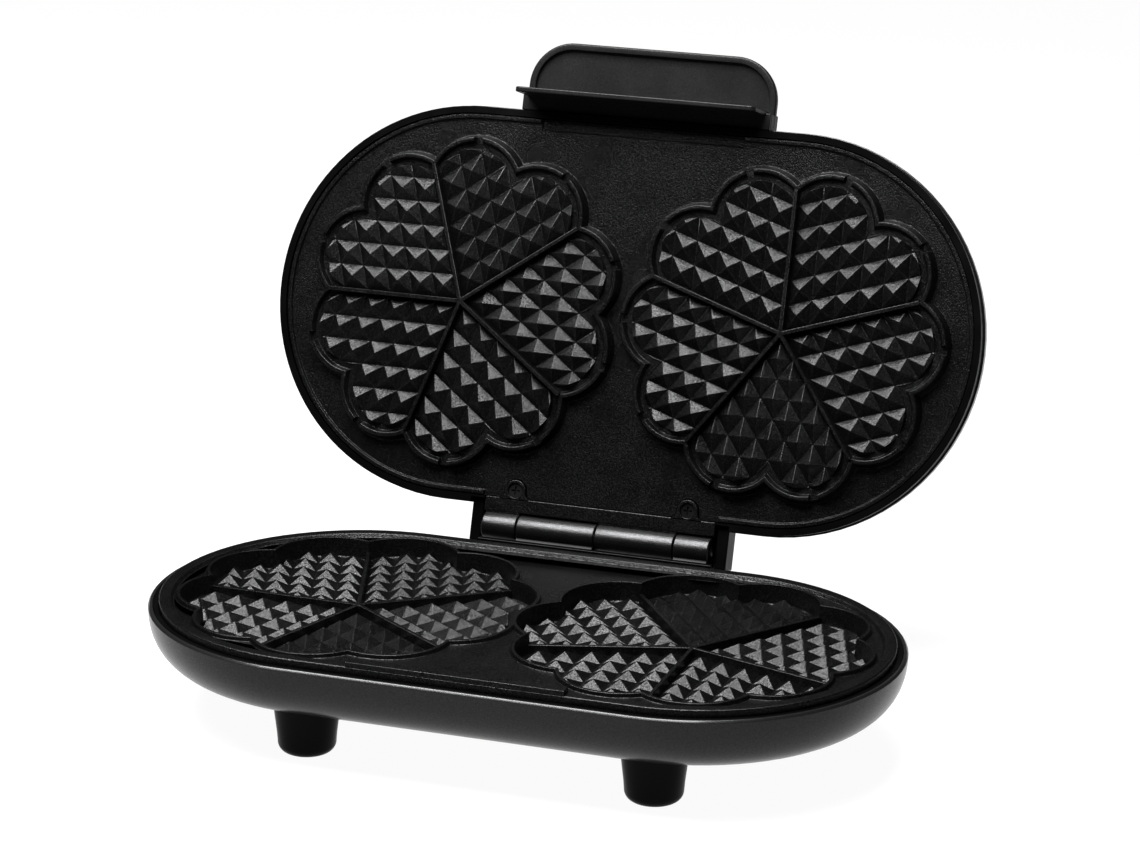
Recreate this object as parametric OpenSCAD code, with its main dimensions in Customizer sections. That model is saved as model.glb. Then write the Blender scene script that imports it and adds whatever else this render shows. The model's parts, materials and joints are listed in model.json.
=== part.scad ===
/* [Waffle plates] */
// Distance between the centres of the two flower-shaped moulds
flower_pitch = 166.8; // [160:0.2:174]
// Radius of the round ends of both cooking plates
plate_r = 95; // [93:0.5:96]
// Distance of a lobe's centre from the centre of its mould
lobe_reach = 57.2; // [57:0.1:58]
// Radius of a lobe of a lower mould, inside its lip
lobe_r = 27.8; // [27:0.1:28]
// Gap all round between the upper ring and the lower mould's wall
ring_gap = 2.1; // [1.6:0.1:2.6]
// Depth of a lower mould, from its lip to its floor
mould_depth = 10; // [9:0.5:11]
// Spacing of the pyramid rows, square to a rib
pyramid_pitch = 11.7; // [9:0.1:15]
// Height of the pyramids
pyramid_h = 4.2; // [2:0.1:4.4]

/* [Base] */
// Height of the lower plate's border above the table
parting_z = 57.5; // [56:0.5:62]
// Radius of the round ends of the base housing
base_r = 100.2; // [100:0.1:103]
// Height of the housing's flat underside above the table
underside_z = 23; // [20:0.5:26]
// Distance between the left and the right feet
foot_span_x = 170; // [150:1:180]
// Distance of the front feet in front of the middle
foot_front_y = 61; // [55:1:64]
// Distance of the rear feet behind the middle, where they hold up the open lid
foot_rear_y = 72; // [70:1:74]
// Width of a foot where it meets the housing
foot_d = 34; // [30:0.5:36]

/* [Lid] */
// Radius of the round ends of the lid
lid_r = 99.5; // [99:0.1:102]
// Height of the lid's flat top above the table when closed
lid_top_z = 99; // [95:0.5:104]
// Radius of the lid's rounded shoulder
shoulder_r = 34; // [28:0.5:34]
// Angle that the lid opens to
open_angle = 108; // [90:1:110]

/* [Handle] */
// Width of the handle
handle_w = 129; // [110:1:135]
// Reach of the handle in front of the lid's edge
handle_reach = 35.5; // [28:0.5:40]
// Radius of the handle's front corners
handle_corner_r = 22; // [15:0.5:25]

/* [Hinge] */
// Distance of the hinge axis behind the middle of the base
hinge_y = 110; // [109:0.1:112]
// Height of the hinge axis above the table
hinge_z = 60.4; // [60:0.1:61]
// Diameter of the hinge barrel
barrel_d = 13.4; // [12:0.1:13.8]
// Length of the hinge barrel
barrel_len = 118.6; // [110:0.2:120]
// Diameter of the hinge pin
pin_d = 6; // [5:0.1:7]

/* [Hidden] */
$fn = 64;
eps = 0.05;
half_pitch = flower_pitch / 2;
field_z = parting_z - 2;       // lower plate's field between its lips and border
border_in = 89.4;              // inner radius of the lower plate's border
wall_t = 1.6;                  // thickness of the lower lip
ring_lobe_r = lobe_r - ring_gap;
ring_t = 3;                    // width of the upper ring
ledge_w = 2.7;                 // flat ledge between the upper ring and its pyramids
slab_t = 3;                    // thickness of the lower plate
lid_slab_t = 2.4;              // thickness of the upper plate
floor_z = parting_z - mould_depth;
pocket_z = floor_z - slab_t;   // underside of a lower mould
rib_w = 2;
rib_top_z = parting_z - 5.5;
pad_half = 52.5;               // raised pad in the middle of the lower plate's front border
pad_depth = 6.6;
pad_rise = 2.3;
plunge = 3;                    // how far the upper ring reaches below the lower lip
crest_z = parting_z - plunge;  // lowest edge of the upper ring, closed
upper_floor_z = crest_z + 3;
upper_field_z = crest_z + 6;
upper_rib_z = crest_z - 1.4;
bead_drop = 1.2;
upper_top_z = upper_field_z + lid_slab_t;
fit_gap = 0.2;
housing_t = 2.2;
housing_top_z = parting_z - 3.2;
bowl_reach = 40.3;             // radial reach of the housing's curved side
bowl_power = 2.47;             // squareness of that curve
post_x = 22;
post_y = 72;
element_d = 6.5;
element_loop_r = 55;
element_gap = 24;              // half the opening in the element's rear run
lower_element_z = pocket_z - element_d / 2 - eps;
upper_element_z = upper_top_z + element_d / 2 + eps;
lower_reflector_z = lower_element_z - 6;
upper_reflector_z = upper_element_z + 5.2;
reflector_t = 0.5;
stud_y = 24;                   // reflector screws, in front of and behind a mould's centre
shell_t = 1.8;
lid_edge_z = 64.5;             // lower edge of the lid shell, closed
rim_out = 98.7;                // outer radius of the lid's black ring
boss_x = 45;
boss_y = 91.3;
boss_r = 6.4;
strip_half = 60;
knuckles = [[-barrel_len / 2, -41], [-41, 0], [0, 41], [41, barrel_len / 2]];
knuckle_gap = 0.4;
hood_half = 67;
handle_z = 70;                 // underside of the grip, closed
handle_t = 5.5;
handle_rim = 3.4;
handle_screw_x = 40;
handle_screw_z = 71.5;
gland_x = 78;
gland_z = 38;

// ---- shared shapes ----

// Sweeps a profile of (radius, height) once round the plates' long outline.
module sweep_round() {
    for (turn = [0, 180]) rotate([0, 0, turn]) {
        translate([half_pitch, 0, 0]) rotate([0, 0, -90]) rotate_extrude(angle = 180, $fn = 96)
            children();
        translate([-half_pitch, 0, 0]) rotate([90, 0, 90]) linear_extrude(flower_pitch)
            children();
    }
}

// Outline of a five-heart waffle: ten equal lobes. turn points one rib at that angle.
module flower(r, turn) {
    circle(r = lobe_reach);
    for (k = [0:9]) rotate(turn + 18 + 36 * k) translate([lobe_reach, 0]) circle(r = r);
}

// Distance from a mould's centre to the cleft between two lobes of radius r.
function cleft(r) = lobe_reach * cos(18) + sqrt(pow(r, 2) - pow(lobe_reach * sin(18), 2));

// Places its child at both mould centres; $turn is the angle of one rib.
module at_moulds() {
    for (side = [-1, 1]) translate([side * half_pitch, 0, 0]) {
        $turn = side < 0 ? 36 : 54;
        children();
    }
}

// Five ribs from a mould's centre to its clefts, filling z0 to z1.
module ribs(reach, z0, z1) {
    for (k = [0:4]) rotate($turn + 72 * k) translate([0, -rib_w / 2, z0])
        cube([reach, rib_w, z1 - z0]);
}

// Zigzag profile: teeth of the pyramids' pitch standing on a thin strip.
function teeth(count, h) = concat(
    [for (k = [0:count - 1], part = [0, 1]) [(k + part / 2) * pyramid_pitch, part * h]],
    [[count * pyramid_pitch, 0], [count * pyramid_pitch, -1], [0, -1]]);

// Rows of pyramids between two ribs: two crossed zigzags keep only the peaks.
module heart_pyramids(reach) {
    rows = ceil(reach / pyramid_pitch);
    intersection() {
        rotate(0) translate([0, rib_w / 2, 0]) rotate([90, 0, 90]) linear_extrude(reach)
            polygon(teeth(rows, pyramid_h));
        rotate(72) translate([reach, -rib_w / 2, 0]) rotate([90, 0, -90]) linear_extrude(reach)
            polygon(teeth(rows, pyramid_h));
    }
}

// All the pyramids of one mould, standing on height 0, trimmed to its outline.
module mould_pyramids(r) {
    intersection() {
        for (k = [0:4]) rotate($turn + 72 * k) heart_pyramids(lobe_reach + r);
        translate([0, 0, -1]) linear_extrude(pyramid_h + 2) flower(r, $turn);
    }
}

// Turns a closed-lid shape to where it stands when the lid rests open.
module lid_pose() {
    translate([0, hinge_y, hinge_z]) rotate([-open_angle, 0, 0])
        translate([0, -hinge_y, -hinge_z]) children();
}

// A pan-head screw pointing up, head underneath, with a cross recess.
module screw(shank_r, shank_h, head_r, head_h) {
    difference() {
        cylinder(r = head_r, h = head_h, $fn = 32);
        for (turn = [0, 90]) rotate(turn) translate([-head_r * 0.6, -0.5, -1])
            cube([head_r * 1.2, 1, 1 + head_h * 0.5]);
    }
    translate([0, 0, head_h]) cylinder(r = shank_r, h = shank_h, $fn = 32);
}

// A bent wire through points; small balls join its straight lengths.
module wire(points, r) {
    for (k = [0:len(points) - 2]) {
        step = points[k + 1] - points[k];
        along = norm(step);
        translate(points[k]) rotate([0, acos(step.z / along), atan2(step.y, step.x)])
            cylinder(r = r, h = along, $fn = 24);
        if (k > 0) translate(points[k]) sphere(r = r * 1.15, $fn = 24);
    }
}

function arc(cx, cy, r, from, to, steps) =
    [for (k = [0:steps]) let (a = from + (to - from) * k / steps)
        [cx + r * cos(a), cy + r * sin(a)]];

// ---- base ----

// Side of the base as a squared-off quarter ellipse, from the top edge to the flat underside.
function bowl_side(inset, steps) = [for (k = [0:steps]) let (a = 90 * k / steps)
    [base_r - bowl_reach + (bowl_reach - inset) * pow(cos(a), 2 / bowl_power),
     housing_top_z - (housing_top_z - underside_z - inset) * pow(sin(a), 2 / bowl_power)]];

module base_housing() {
    outer = bowl_side(0, 9);
    inner = bowl_side(housing_t, 9);
    color("dimgray") difference() {
        union() {
            sweep_round() polygon(concat(outer, [[0, underside_z], [0, underside_z + housing_t]],
                [for (k = [9:-1:0]) inner[k]]));
            for (x = [-post_x, post_x], y = [-post_y, post_y]) translate([x, y, 0])
                cylinder_between(5, underside_z + 1.5, pocket_z - 0.4);
            at_feet() cylinder_between(5, underside_z + 5, underside_z + 10);
            hinge_pad();
        }
        for (x = [-post_x, post_x], y = [-post_y, post_y]) translate([x, y, 0]) {
            cylinder_between(2.3, underside_z - 5, pocket_z + 5);
            cylinder_between(3.9, underside_z - 5, underside_z + 6);
        }
        at_feet() cylinder_between(1.7, underside_z - 5, underside_z + 12);
        for (x = [-44, 0, 44]) translate([x, base_r - 15, 44]) rotate([-90, 0, 0])
            cylinder(r = 1.7, h = 30);
        translate([gland_x, base_r - 20, gland_z]) rotate([-90, 0, 0]) cylinder(r = 6, h = 30);
        for (side = [-1, 1], k = [-3:3]) translate([side * half_pitch + 9 * k - 2, -20,
                                                    underside_z - 1])
            cube([4, 40, housing_t + 2]);
    }
}

// Places its child over each of the four feet.
module at_feet() {
    for (x = [-1, 1], y = [-foot_front_y, foot_rear_y]) translate([x * foot_span_x / 2, y, 0])
        children();
}

module cylinder_between(r, z0, z1) {
    translate([0, 0, z0]) cylinder(r = r, h = z1 - z0);
}

// Thick flat seat for the hinge bracket, inside the rear wall.
module hinge_pad() {
    translate([-62, base_r - 8, 38]) cube([124, 8, field_z - slab_t - 0.3 - 38]);
}

module base_rim() {
    color([0.06, 0.06, 0.065]) difference() {
        sweep_round() polygon([[91, 49.6], [base_r - housing_t - 0.4, 49.6],
            [base_r - housing_t - 0.4, housing_top_z - 0.3], [plate_r + 0.4, housing_top_z - 0.3],
            [plate_r + 0.4, field_z - slab_t - fit_gap], [91, field_z - slab_t - fit_gap]]);
        translate([-62.5, base_r - 8.5, 49]) cube([125, 10, 8]);
    }
}

module lower_plate() {
    color([0.1, 0.1, 0.105]) difference() {
        union() {
            difference() {
                union() {
                    sweep_round() polygon([[0, field_z - slab_t], [plate_r, field_z - slab_t],
                        [plate_r, parting_z], [border_in, parting_z], [border_in - 1.5, field_z],
                        [0, field_z]]);
                    at_moulds() translate([0, 0, pocket_z])
                        linear_extrude(parting_z - pocket_z) flower(lobe_r + wall_t, $turn);
                }
                at_moulds() translate([0, 0, floor_z])
                    linear_extrude(mould_depth + 1) flower(lobe_r, $turn);
                }
            translate([-pad_half, -plate_r + 0.3, field_z - 1])
                cube([2 * pad_half, pad_depth, parting_z + pad_rise - field_z + 1]);
            at_moulds() ribs(cleft(lobe_r) + 0.8, floor_z - 1, rib_top_z);
            at_moulds() translate([0, 0, floor_z]) mould_pyramids(lobe_r - 0.5);
            for (x = [-post_x, post_x], y = [-post_y, post_y]) translate([x, y, 0])
                cylinder_between(5, pocket_z, field_z - 1);
            at_moulds() for (y = [-stud_y, stud_y]) translate([0, y, 0])
                cylinder_between(4, lower_reflector_z + reflector_t + eps, pocket_z + 1);
        }
        for (x = [-post_x, post_x], y = [-post_y, post_y]) translate([x, y, 0])
            cylinder_between(2, pocket_z - 1, field_z - 2.5);
        at_moulds() for (y = [-stud_y, stud_y]) translate([0, y, 0])
            cylinder_between(1.6, lower_reflector_z, pocket_z + 1.5);
    }
}

// Space above the lower plate's front pad, and the flat border in front of the hinge.
module upper_flats() {
    translate([-pad_half, -plate_r - 1, upper_field_z - 3]) cube([2 * pad_half, pad_depth + 1, 4]);
    translate([-strip_half - 1, plate_r - 5, upper_field_z - 3])
        cube([2 * strip_half + 2, 6, 3]);
}

// Tubular heater: one long loop, open at the rear, with a pin at each end.
module element(z) {
    for (side = [-1, 1]) {
        translate([side * half_pitch, 0, z]) rotate(-90 * side) rotate_extrude(angle = 180, $fn = 96)
            translate([element_loop_r, 0]) circle(d = element_d, $fn = 32);
        translate([side < 0 ? -half_pitch : element_gap, element_loop_r, z]) rotate([0, 90, 0])
            cylinder(d = element_d, h = half_pitch - element_gap, $fn = 32);
        translate([side < 0 ? -element_gap - 1 : element_gap - 11, element_loop_r, z])
            rotate([0, 90, 0]) cylinder(r = 1.3, h = 12, $fn = 32);
    }
    translate([-half_pitch, -element_loop_r, z]) rotate([0, 90, 0])
        cylinder(d = element_d, h = flower_pitch, $fn = 32);
}

module lower_element() {
    color([0.35, 0.35, 0.36]) element(lower_element_z);
}

// Sheet-steel bars across the heater, one under each mould.
module clips(z) {
    for (side = [-1, 1]) translate([side * half_pitch - 5, -element_loop_r - 8, z])
        cube([10, 2 * element_loop_r + 16, 1]);
}

module lower_element_clips() {
    color("silver") difference() {
        clips(lower_element_z - element_d / 2 - 1 - eps);
        at_moulds() for (y = [-stud_y, stud_y]) translate([0, y, lower_element_z - 10])
            cylinder(r = 4.2, h = 20);
    }
}

// Shallow heat-reflecting tray. up is 1 where its rim turns up, -1 where it turns down.
module reflector(z, up) {
    rim_h = 4;
    difference() {
        if (up > 0) sweep_round() polygon([[0, z], [80, z], [84, z + rim_h],
            [84 - reflector_t, z + rim_h], [79.6, z + reflector_t], [0, z + reflector_t]]);
        else sweep_round() polygon([[0, z], [79.6, z], [84 - reflector_t, z - rim_h],
            [84, z - rim_h], [80, z + reflector_t], [0, z + reflector_t]]);
        at_moulds() for (y = [-stud_y, stud_y]) translate([0, y, z - 5]) cylinder(r = 2, h = 10);
        for (x = [-post_x, post_x], y = [-post_y, post_y]) translate([x, y, z - 10])
            cylinder(r = 5.6, h = 20);
        translate([-19, element_loop_r - 14, z - 10]) cube([38, 40, 20]);
    }
}

module lower_reflector() {
    color("lightgray") reflector(lower_reflector_z, 1);
}

module lower_reflector_screws() {
    color("silver") at_moulds() for (y = [-stud_y, stud_y])
        translate([0, y, lower_reflector_z - 2 - eps]) screw(1.55, 8, 3.2, 2);
}

// Round snap thermostat with two blade terminals, its cap against z.
module thermostat_body(z, up) {
    translate([0, 69, z - (up > 0 ? 9 : 0)]) cylinder(r = 7.5, h = 9);
    for (x = [-4.5, 2]) translate([x, 65.9, z - (up > 0 ? 15 : -8)]) cube([2.5, 6.2, 7]);
}

module thermostat() {
    color("tan") thermostat_body(field_z - slab_t - eps, 1);
}

// Thermal fuse in its sleeve, clamped against the plate.
module fuse_body(z) {
    translate([-12, -70, z]) rotate([0, 90, 0]) cylinder(r = 2.5, h = 24, $fn = 32);
    translate([-3, -75, z - 2.6]) cube([6, 2.4, 5.2]);
}

module base_fuse() {
    color("white") fuse_body(field_z - slab_t - 2.6 - eps);
}

module terminal_block() {
    color("ivory") translate([30, 44, underside_z + housing_t + eps]) difference() {
        cube([34, 14, 8.5]);
        for (k = [0:2]) translate([6 + 11 * k, -1, 4.2]) rotate([-90, 0, 0])
            cylinder(r = 2.2, h = 16, $fn = 32);
    }
}

// Wires from the terminal block to the heater's pins, the thermostat and the fuse.
module base_wiring() {
    block_z = underside_z + housing_t + 4.2;
    color("white") {
        wire([[36, 54, block_z], [36, 61, block_z], [16, 61, block_z], [16, element_loop_r, block_z],
              [16, element_loop_r, lower_element_z - 2.5]], 1.1);
        wire([[47, 54, block_z], [47, 65, block_z], [-16, 65, block_z],
              [-16, element_loop_r, block_z], [-16, element_loop_r, lower_element_z - 2.5]], 1.1);
        wire([[58, 54, block_z], [58, 61, block_z], [gland_x, 61, block_z],
              [gland_x, 72, block_z]], 1.1);
    }
}

// Flanged sleeve that the mains lead would leave through; its bore is open.
module cord_gland() {
    color([0.05, 0.05, 0.05]) translate([gland_x, 0, gland_z]) rotate([-90, 0, 0]) difference() {
        union() {
            translate([0, 0, 86]) cylinder(r = 5.9, h = 16);
            translate([0, 0, base_r + 0.2]) cylinder(r = 8, h = 3);
            translate([0, 0, 84.2]) cylinder(r = 6.3, h = 2.2);
        }
        translate([0, 0, 80]) cylinder(r = 3.6, h = 30);
    }
}

// Tapered foot with a rounded sole edge, cut to the curve of the housing.
module foot(side, y) {
    edge_r = 5;
    sole_r = foot_d / 2 - 2.5 - edge_r;
    color([0.04, 0.04, 0.045]) difference() {
        translate([side * foot_span_x / 2, y, 0]) rotate_extrude() polygon(concat([[0, 0]],
            arc(sole_r, edge_r, edge_r, -90, -6, 6),
            [[foot_d / 2, underside_z + 8], [0, underside_z + 8]]));
        foot_socket();
        translate([side * foot_span_x / 2, y, 0]) {
            cylinder_between(3.6, -1, 12);
            cylinder_between(1.8, -1, underside_z + 10);
        }
    }
}

// The space of the housing, left free by the feet.
module foot_socket() {
    sweep_round() polygon(concat(bowl_side(-fit_gap / 2, 9),
        [[0, underside_z - fit_gap / 2], [0, housing_top_z]]));
}

module foot_front_left() { foot(-1, -foot_front_y); }
module foot_front_right() { foot(1, -foot_front_y); }
module foot_rear_left() { foot(-1, foot_rear_y); }
module foot_rear_right() { foot(1, foot_rear_y); }

module foot_screws() {
    color("silver") at_feet() translate([0, 0, 9.5]) screw(1.6, 18, 3.4, 2.4);
}

module base_screws() {
    color("silver") for (x = [-post_x, post_x], y = [-post_y, post_y])
        translate([x, y, underside_z + 3]) screw(1.95, 23, 3.6, 2.9);
}

// ---- hinge ----

// One length of the hinge barrel, solid; span is its left and right end.
module knuckle(span) {
    translate([span[0] + knuckle_gap / 2, hinge_y, hinge_z]) rotate([0, 90, 0])
        cylinder(d = barrel_d, h = span[1] - span[0] - knuckle_gap);
}

// Space of the hinge pin, right through the barrel.
module pin_hole(hole_d) {
    translate([-barrel_len, hinge_y, hinge_z]) rotate([0, 90, 0])
        cylinder(d = hole_d, h = 2 * barrel_len);
}

module base_hinge_bracket() {
    web_y = base_r + 0.1;
    web_t = 3;
    ledge_z = 56.6;
    color([0.3, 0.3, 0.31]) difference() {
        union() {
            for (k = [1, 3]) {
                knuckle(knuckles[k]);
                translate([knuckles[k][0] + knuckle_gap / 2, 0, 0]) rotate([90, 0, 90])
                    linear_extrude(knuckles[k][1] - knuckles[k][0] - knuckle_gap)
                        polygon([[web_y, 47.6], [web_y + web_t, 47.6], [hinge_y + 1, hinge_z - 5],
                                 [hinge_y, hinge_z], [hinge_y - 5.5, hinge_z - 2.2],
                                 [web_y, 54]]);
            }
            translate([-62, web_y, 38]) cube([124, web_t, ledge_z - 38]);
        }
        pin_hole(pin_d + 0.06);
        for (x = [-44, 0, 44]) translate([x, base_r - 5, 44]) rotate([-90, 0, 0])
            cylinder(r = 1.8, h = 30);
    }
}

module hinge_bracket_screws() {
    color("silver") for (x = [-44, 0, 44]) translate([x, base_r + 5.4, 44]) rotate([90, 0, 0])
        screw(1.6, 10, 3.2, 2.1);
}

module hinge_pin() {
    color("silver") translate([-barrel_len / 2 + 0.5, hinge_y, hinge_z]) rotate([0, 90, 0])
        cylinder(d = pin_d, h = barrel_len - 1);
}

module lid_hinge_bracket() {
    strip_z0 = 59;
    strip_z1 = 62;
    color([0.12, 0.12, 0.12]) lid_pose() difference() {
        union() {
            for (k = [0, 2]) {
                knuckle(knuckles[k]);
                translate([knuckles[k][0] + knuckle_gap / 2, 100, strip_z0])
                    cube([knuckles[k][1] - knuckles[k][0] - knuckle_gap, 8, strip_z1 - strip_z0]);
            }
            translate([-strip_half, plate_r + 0.4, strip_z0])
                cube([2 * strip_half, 7.1, strip_z1 - strip_z0]);
            for (x = [-boss_x, boss_x]) {
                translate([x, boss_y, strip_z0]) cylinder(r = boss_r - 1, h = 5.8);
                translate([x - boss_r + 1, boss_y, strip_z0]) cube([2 * boss_r - 2, 5, 3]);
            }
        }
        pin_hole(pin_d + 0.16);
        for (x = [-boss_x, boss_x]) translate([x, boss_y, 0]) {
            cylinder_between(4, 50, strip_z0 + 3.2);
            cylinder_between(2, 50, 80);
        }
    }
}

module hinge_screws() {
    color([0.2, 0.2, 0.2]) lid_pose() for (x = [-boss_x, boss_x])
        translate([x, boss_y, 60.2]) screw(1.8, 16, 3.6, 1.9);
}

// ---- lid ----

// Rounded roof of the lid: vertical edge, round shoulder, flat top, drawn inset mm inside.
function roof(inset, steps) = concat([[lid_r - inset, lid_edge_z]],
    arc(lid_r - shoulder_r, lid_top_z - shoulder_r, shoulder_r - inset, 0, 90, steps));

module lid_shell() {
    outer = roof(0, 8);
    inner = roof(shell_t, 8);
    last = len(inner) - 1;
    color("dimgray") lid_pose() difference() {
        union() {
            sweep_round() polygon(concat(outer, [[0, lid_top_z], [0, lid_top_z - shell_t]],
                [for (k = [last:-1:0]) inner[k]]));
            for (x = [-boss_x, boss_x]) translate([x, boss_y, 0]) cylinder_between(3.6, 67.8, 84.5);
        }
        for (x = [-boss_x, boss_x]) translate([x, boss_y, 0]) cylinder_between(1.85, 60, 79);
        for (x = [-9, 9]) translate([x, -52, 80]) cylinder(r = 3.2, h = 30);
        for (x = [-handle_screw_x, handle_screw_x]) translate([x, -lid_r - 10, handle_screw_z])
            rotate([-90, 0, 0]) cylinder(r = 2, h = 20);
        translate([-hood_half - 0.3, lid_r - 8, 60]) cube([2 * hood_half + 0.6, 20, 15]);
    }
}

module lid_rim() {
    color([0.06, 0.06, 0.065]) lid_pose() difference() {
        sweep_round() polygon([[plate_r + 0.4, 58.4], [rim_out, 58.4],
            [rim_out, lid_edge_z - fit_gap], [lid_r - shell_t - 0.6, lid_edge_z - fit_gap],
            [lid_r - shell_t - 0.6, 67.4], [90, 67.4], [90, 65.2], [plate_r + 0.4, 65.2]]);
        translate([-60.3, plate_r, 57]) cube([120.6, 10, 8.1]);
        translate([-hood_half - 0.3, lid_r - 3, 57]) cube([2 * hood_half + 0.6, 10, 20]);
        for (x = [-boss_x, boss_x]) translate([x, boss_y, 0]) cylinder_between(2.1, 60, 70);
    }
}

module upper_plate() {
    color([0.1, 0.1, 0.105]) lid_pose() difference() {
        union() {
            difference() {
                union() {
                    sweep_round() polygon([[0, upper_field_z], [92.3, upper_field_z],
                        [92.9, upper_field_z - bead_drop], [plate_r, upper_field_z - bead_drop],
                        [plate_r, 65], [plate_r - 2.5, 65], [plate_r - 2.5, upper_top_z],
                        [0, upper_top_z]]);
                    at_moulds() translate([0, 0, crest_z])
                        linear_extrude(upper_top_z - crest_z) flower(ring_lobe_r, $turn);
                }
                at_moulds() {
                    translate([0, 0, crest_z - 1])
                        linear_extrude(upper_floor_z - crest_z + 1) flower(ring_lobe_r - ring_t, $turn);
                    translate([0, 0, upper_floor_z + lid_slab_t])
                        linear_extrude(10) flower(ring_lobe_r - 4.5, $turn);
                    for (k = [0:9]) rotate($turn + 18 + 36 * k)
                        translate([lobe_reach + ring_lobe_r - 6, -1.8, crest_z - 1])
                            cube([10, 3.6, 1 + upper_floor_z - crest_z]);
                }
                upper_flats();
                for (x = [-boss_x, boss_x]) {
                    translate([x, boss_y, 50]) cylinder(r = boss_r, h = 30);
                    translate([x - boss_r, boss_y, 50]) cube([2 * boss_r, 10, 30]);
                }
            }
            at_moulds() ribs(cleft(ring_lobe_r) - 0.5, upper_rib_z, upper_floor_z + 1);
            at_moulds() translate([0, 0, upper_floor_z]) mirror([0, 0, 1])
                mould_pyramids(ring_lobe_r - ring_t - ledge_w);
            at_moulds() for (y = [-element_loop_r, element_loop_r, -stud_y, stud_y])
                translate([0, y, 0]) cylinder_between(4.5, upper_floor_z + 1, upper_top_z);
            at_moulds() for (y = [-stud_y, stud_y]) translate([0, y, 0])
                cylinder_between(4, upper_top_z - 1, upper_reflector_z - eps);
        }
        at_moulds() for (y = [-stud_y, stud_y]) translate([0, y, 0])
            cylinder_between(1.6, upper_floor_z + 2, upper_reflector_z + 1);
    }
}

module upper_element() {
    color([0.35, 0.35, 0.36]) lid_pose() element(upper_element_z);
}

module upper_element_clips() {
    color("silver") lid_pose() difference() {
        clips(upper_element_z + element_d / 2 + eps);
        at_moulds() for (y = [-stud_y, stud_y]) translate([0, y, upper_element_z - 10])
            cylinder(r = 4.2, h = 20);
    }
}

module upper_reflector() {
    color("lightgray") lid_pose() reflector(upper_reflector_z, -1);
}

module upper_reflector_screws() {
    color("silver") lid_pose() at_moulds() for (y = [-stud_y, stud_y])
        translate([0, y, upper_reflector_z + reflector_t + 2 + eps]) rotate([180, 0, 0])
            screw(1.55, 8, 3.2, 2);
}

module lid_fuse() {
    color("white") lid_pose() fuse_body(upper_top_z + 2.6 + eps);
}

// Wires from the hinge's left end to the heater's pins and the lamps.
module lid_wiring() {
    top_z = 86;
    color("white") lid_pose() {
        wire([[-9, element_loop_r, upper_element_z + 2.5], [-9, element_loop_r, top_z],
              [-9, -40, top_z], [-9, -46, top_z]], 1.1);
        wire([[9, element_loop_r, upper_element_z + 2.5], [9, element_loop_r, top_z],
              [9, -40, top_z], [9, -46, top_z]], 1.1);
    }
}

// Cover over the hinge barrel, with a cheek beyond each of its ends.
module hinge_hood() {
    roof_z0 = 68.4;
    roof_z1 = 74.4;
    hood_back = 118.6;
    color([0.06, 0.06, 0.065]) lid_pose() difference() {
        translate([-hood_half, lid_r - 2.8, 61]) cube([2 * hood_half, hood_back - lid_r + 2.8,
                                                      roof_z1 - 61]);
        translate([-61, lid_r - 10, 50]) cube([122, 40, roof_z0 - 50]);
    }
}

// D-shaped grip panel with a raised rim underneath, a root block and a hanging lip.
module handle() {
    tip_y = lid_r + handle_reach;
    root_y = 101;
    inset = handle_w / 2 - handle_corner_r;
    tongue_half = 62;
    tongue_z = 38.5;
    root_w = handle_w - 0.2;
    root_z = 62;
    inner_z = 60.6;
    color([0.05, 0.05, 0.055]) lid_pose() mirror([0, 1, 0]) difference() {
        union() {
            translate([0, 0, handle_z - 2]) linear_extrude(handle_t + 2) polygon(concat(
                [[-handle_w / 2, root_y], [handle_w / 2, root_y]],
                arc(inset, tip_y - handle_corner_r, handle_corner_r, 0, 90, 8),
                arc(-inset, tip_y - handle_corner_r, handle_corner_r, 90, 180, 8)));
            translate([-root_w / 2, lid_r + 0.2, root_z]) cube([root_w, 8, handle_z + handle_t - root_z]);
            translate([-root_w / 2, rim_out + 0.3, inner_z]) cube([root_w, 9, lid_edge_z - 0.3 - inner_z]);
            translate([-tongue_half, 106, tongue_z]) cube([2 * tongue_half, 2.5, 73 - tongue_z]);
        }
        translate([0, 0, handle_z - 3]) linear_extrude(3) polygon(concat(
            [[-handle_w / 2 + handle_rim, 108.5], [handle_w / 2 - handle_rim, 108.5]],
            arc(inset, tip_y - handle_corner_r, handle_corner_r - handle_rim, 0, 90, 8),
            arc(-inset, tip_y - handle_corner_r, handle_corner_r - handle_rim, 90, 180, 8)));
        for (x = [-handle_screw_x, handle_screw_x]) translate([x, 90, handle_screw_z])
            rotate([-90, 0, 0]) cylinder(r = 1.7, h = 17.5);
    }
}

module handle_screws() {
    color("silver") lid_pose() for (x = [-handle_screw_x, handle_screw_x])
        translate([x, -lid_r + 5.7, handle_screw_z]) rotate([90, 0, 0]) screw(1.6, 11, 3.2, 2.2);
}

module lens(x) {
    translate([x, -52, lid_top_z - 6]) cylinder(r = 3.1, h = 6);
    translate([x, -52, lid_top_z]) cylinder(r1 = 4.2, r2 = 3.4, h = 1);
}

module power_lamp() {
    color("red") lid_pose() lens(-9);
}

module ready_lamp() {
    color("green") lid_pose() lens(9);
}

module lamp_board() {
    color("olive") lid_pose() {
        translate([-22, -62, 88]) cube([44, 20, 1.4]);
        for (x = [-9, 9]) translate([x, -52, 89]) cylinder(r = 1.8, h = 3.5, $fn = 24);
        for (x = [-18, 18]) translate([x, -60, 86]) cylinder(r = 3, h = 3);
    }
}

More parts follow.
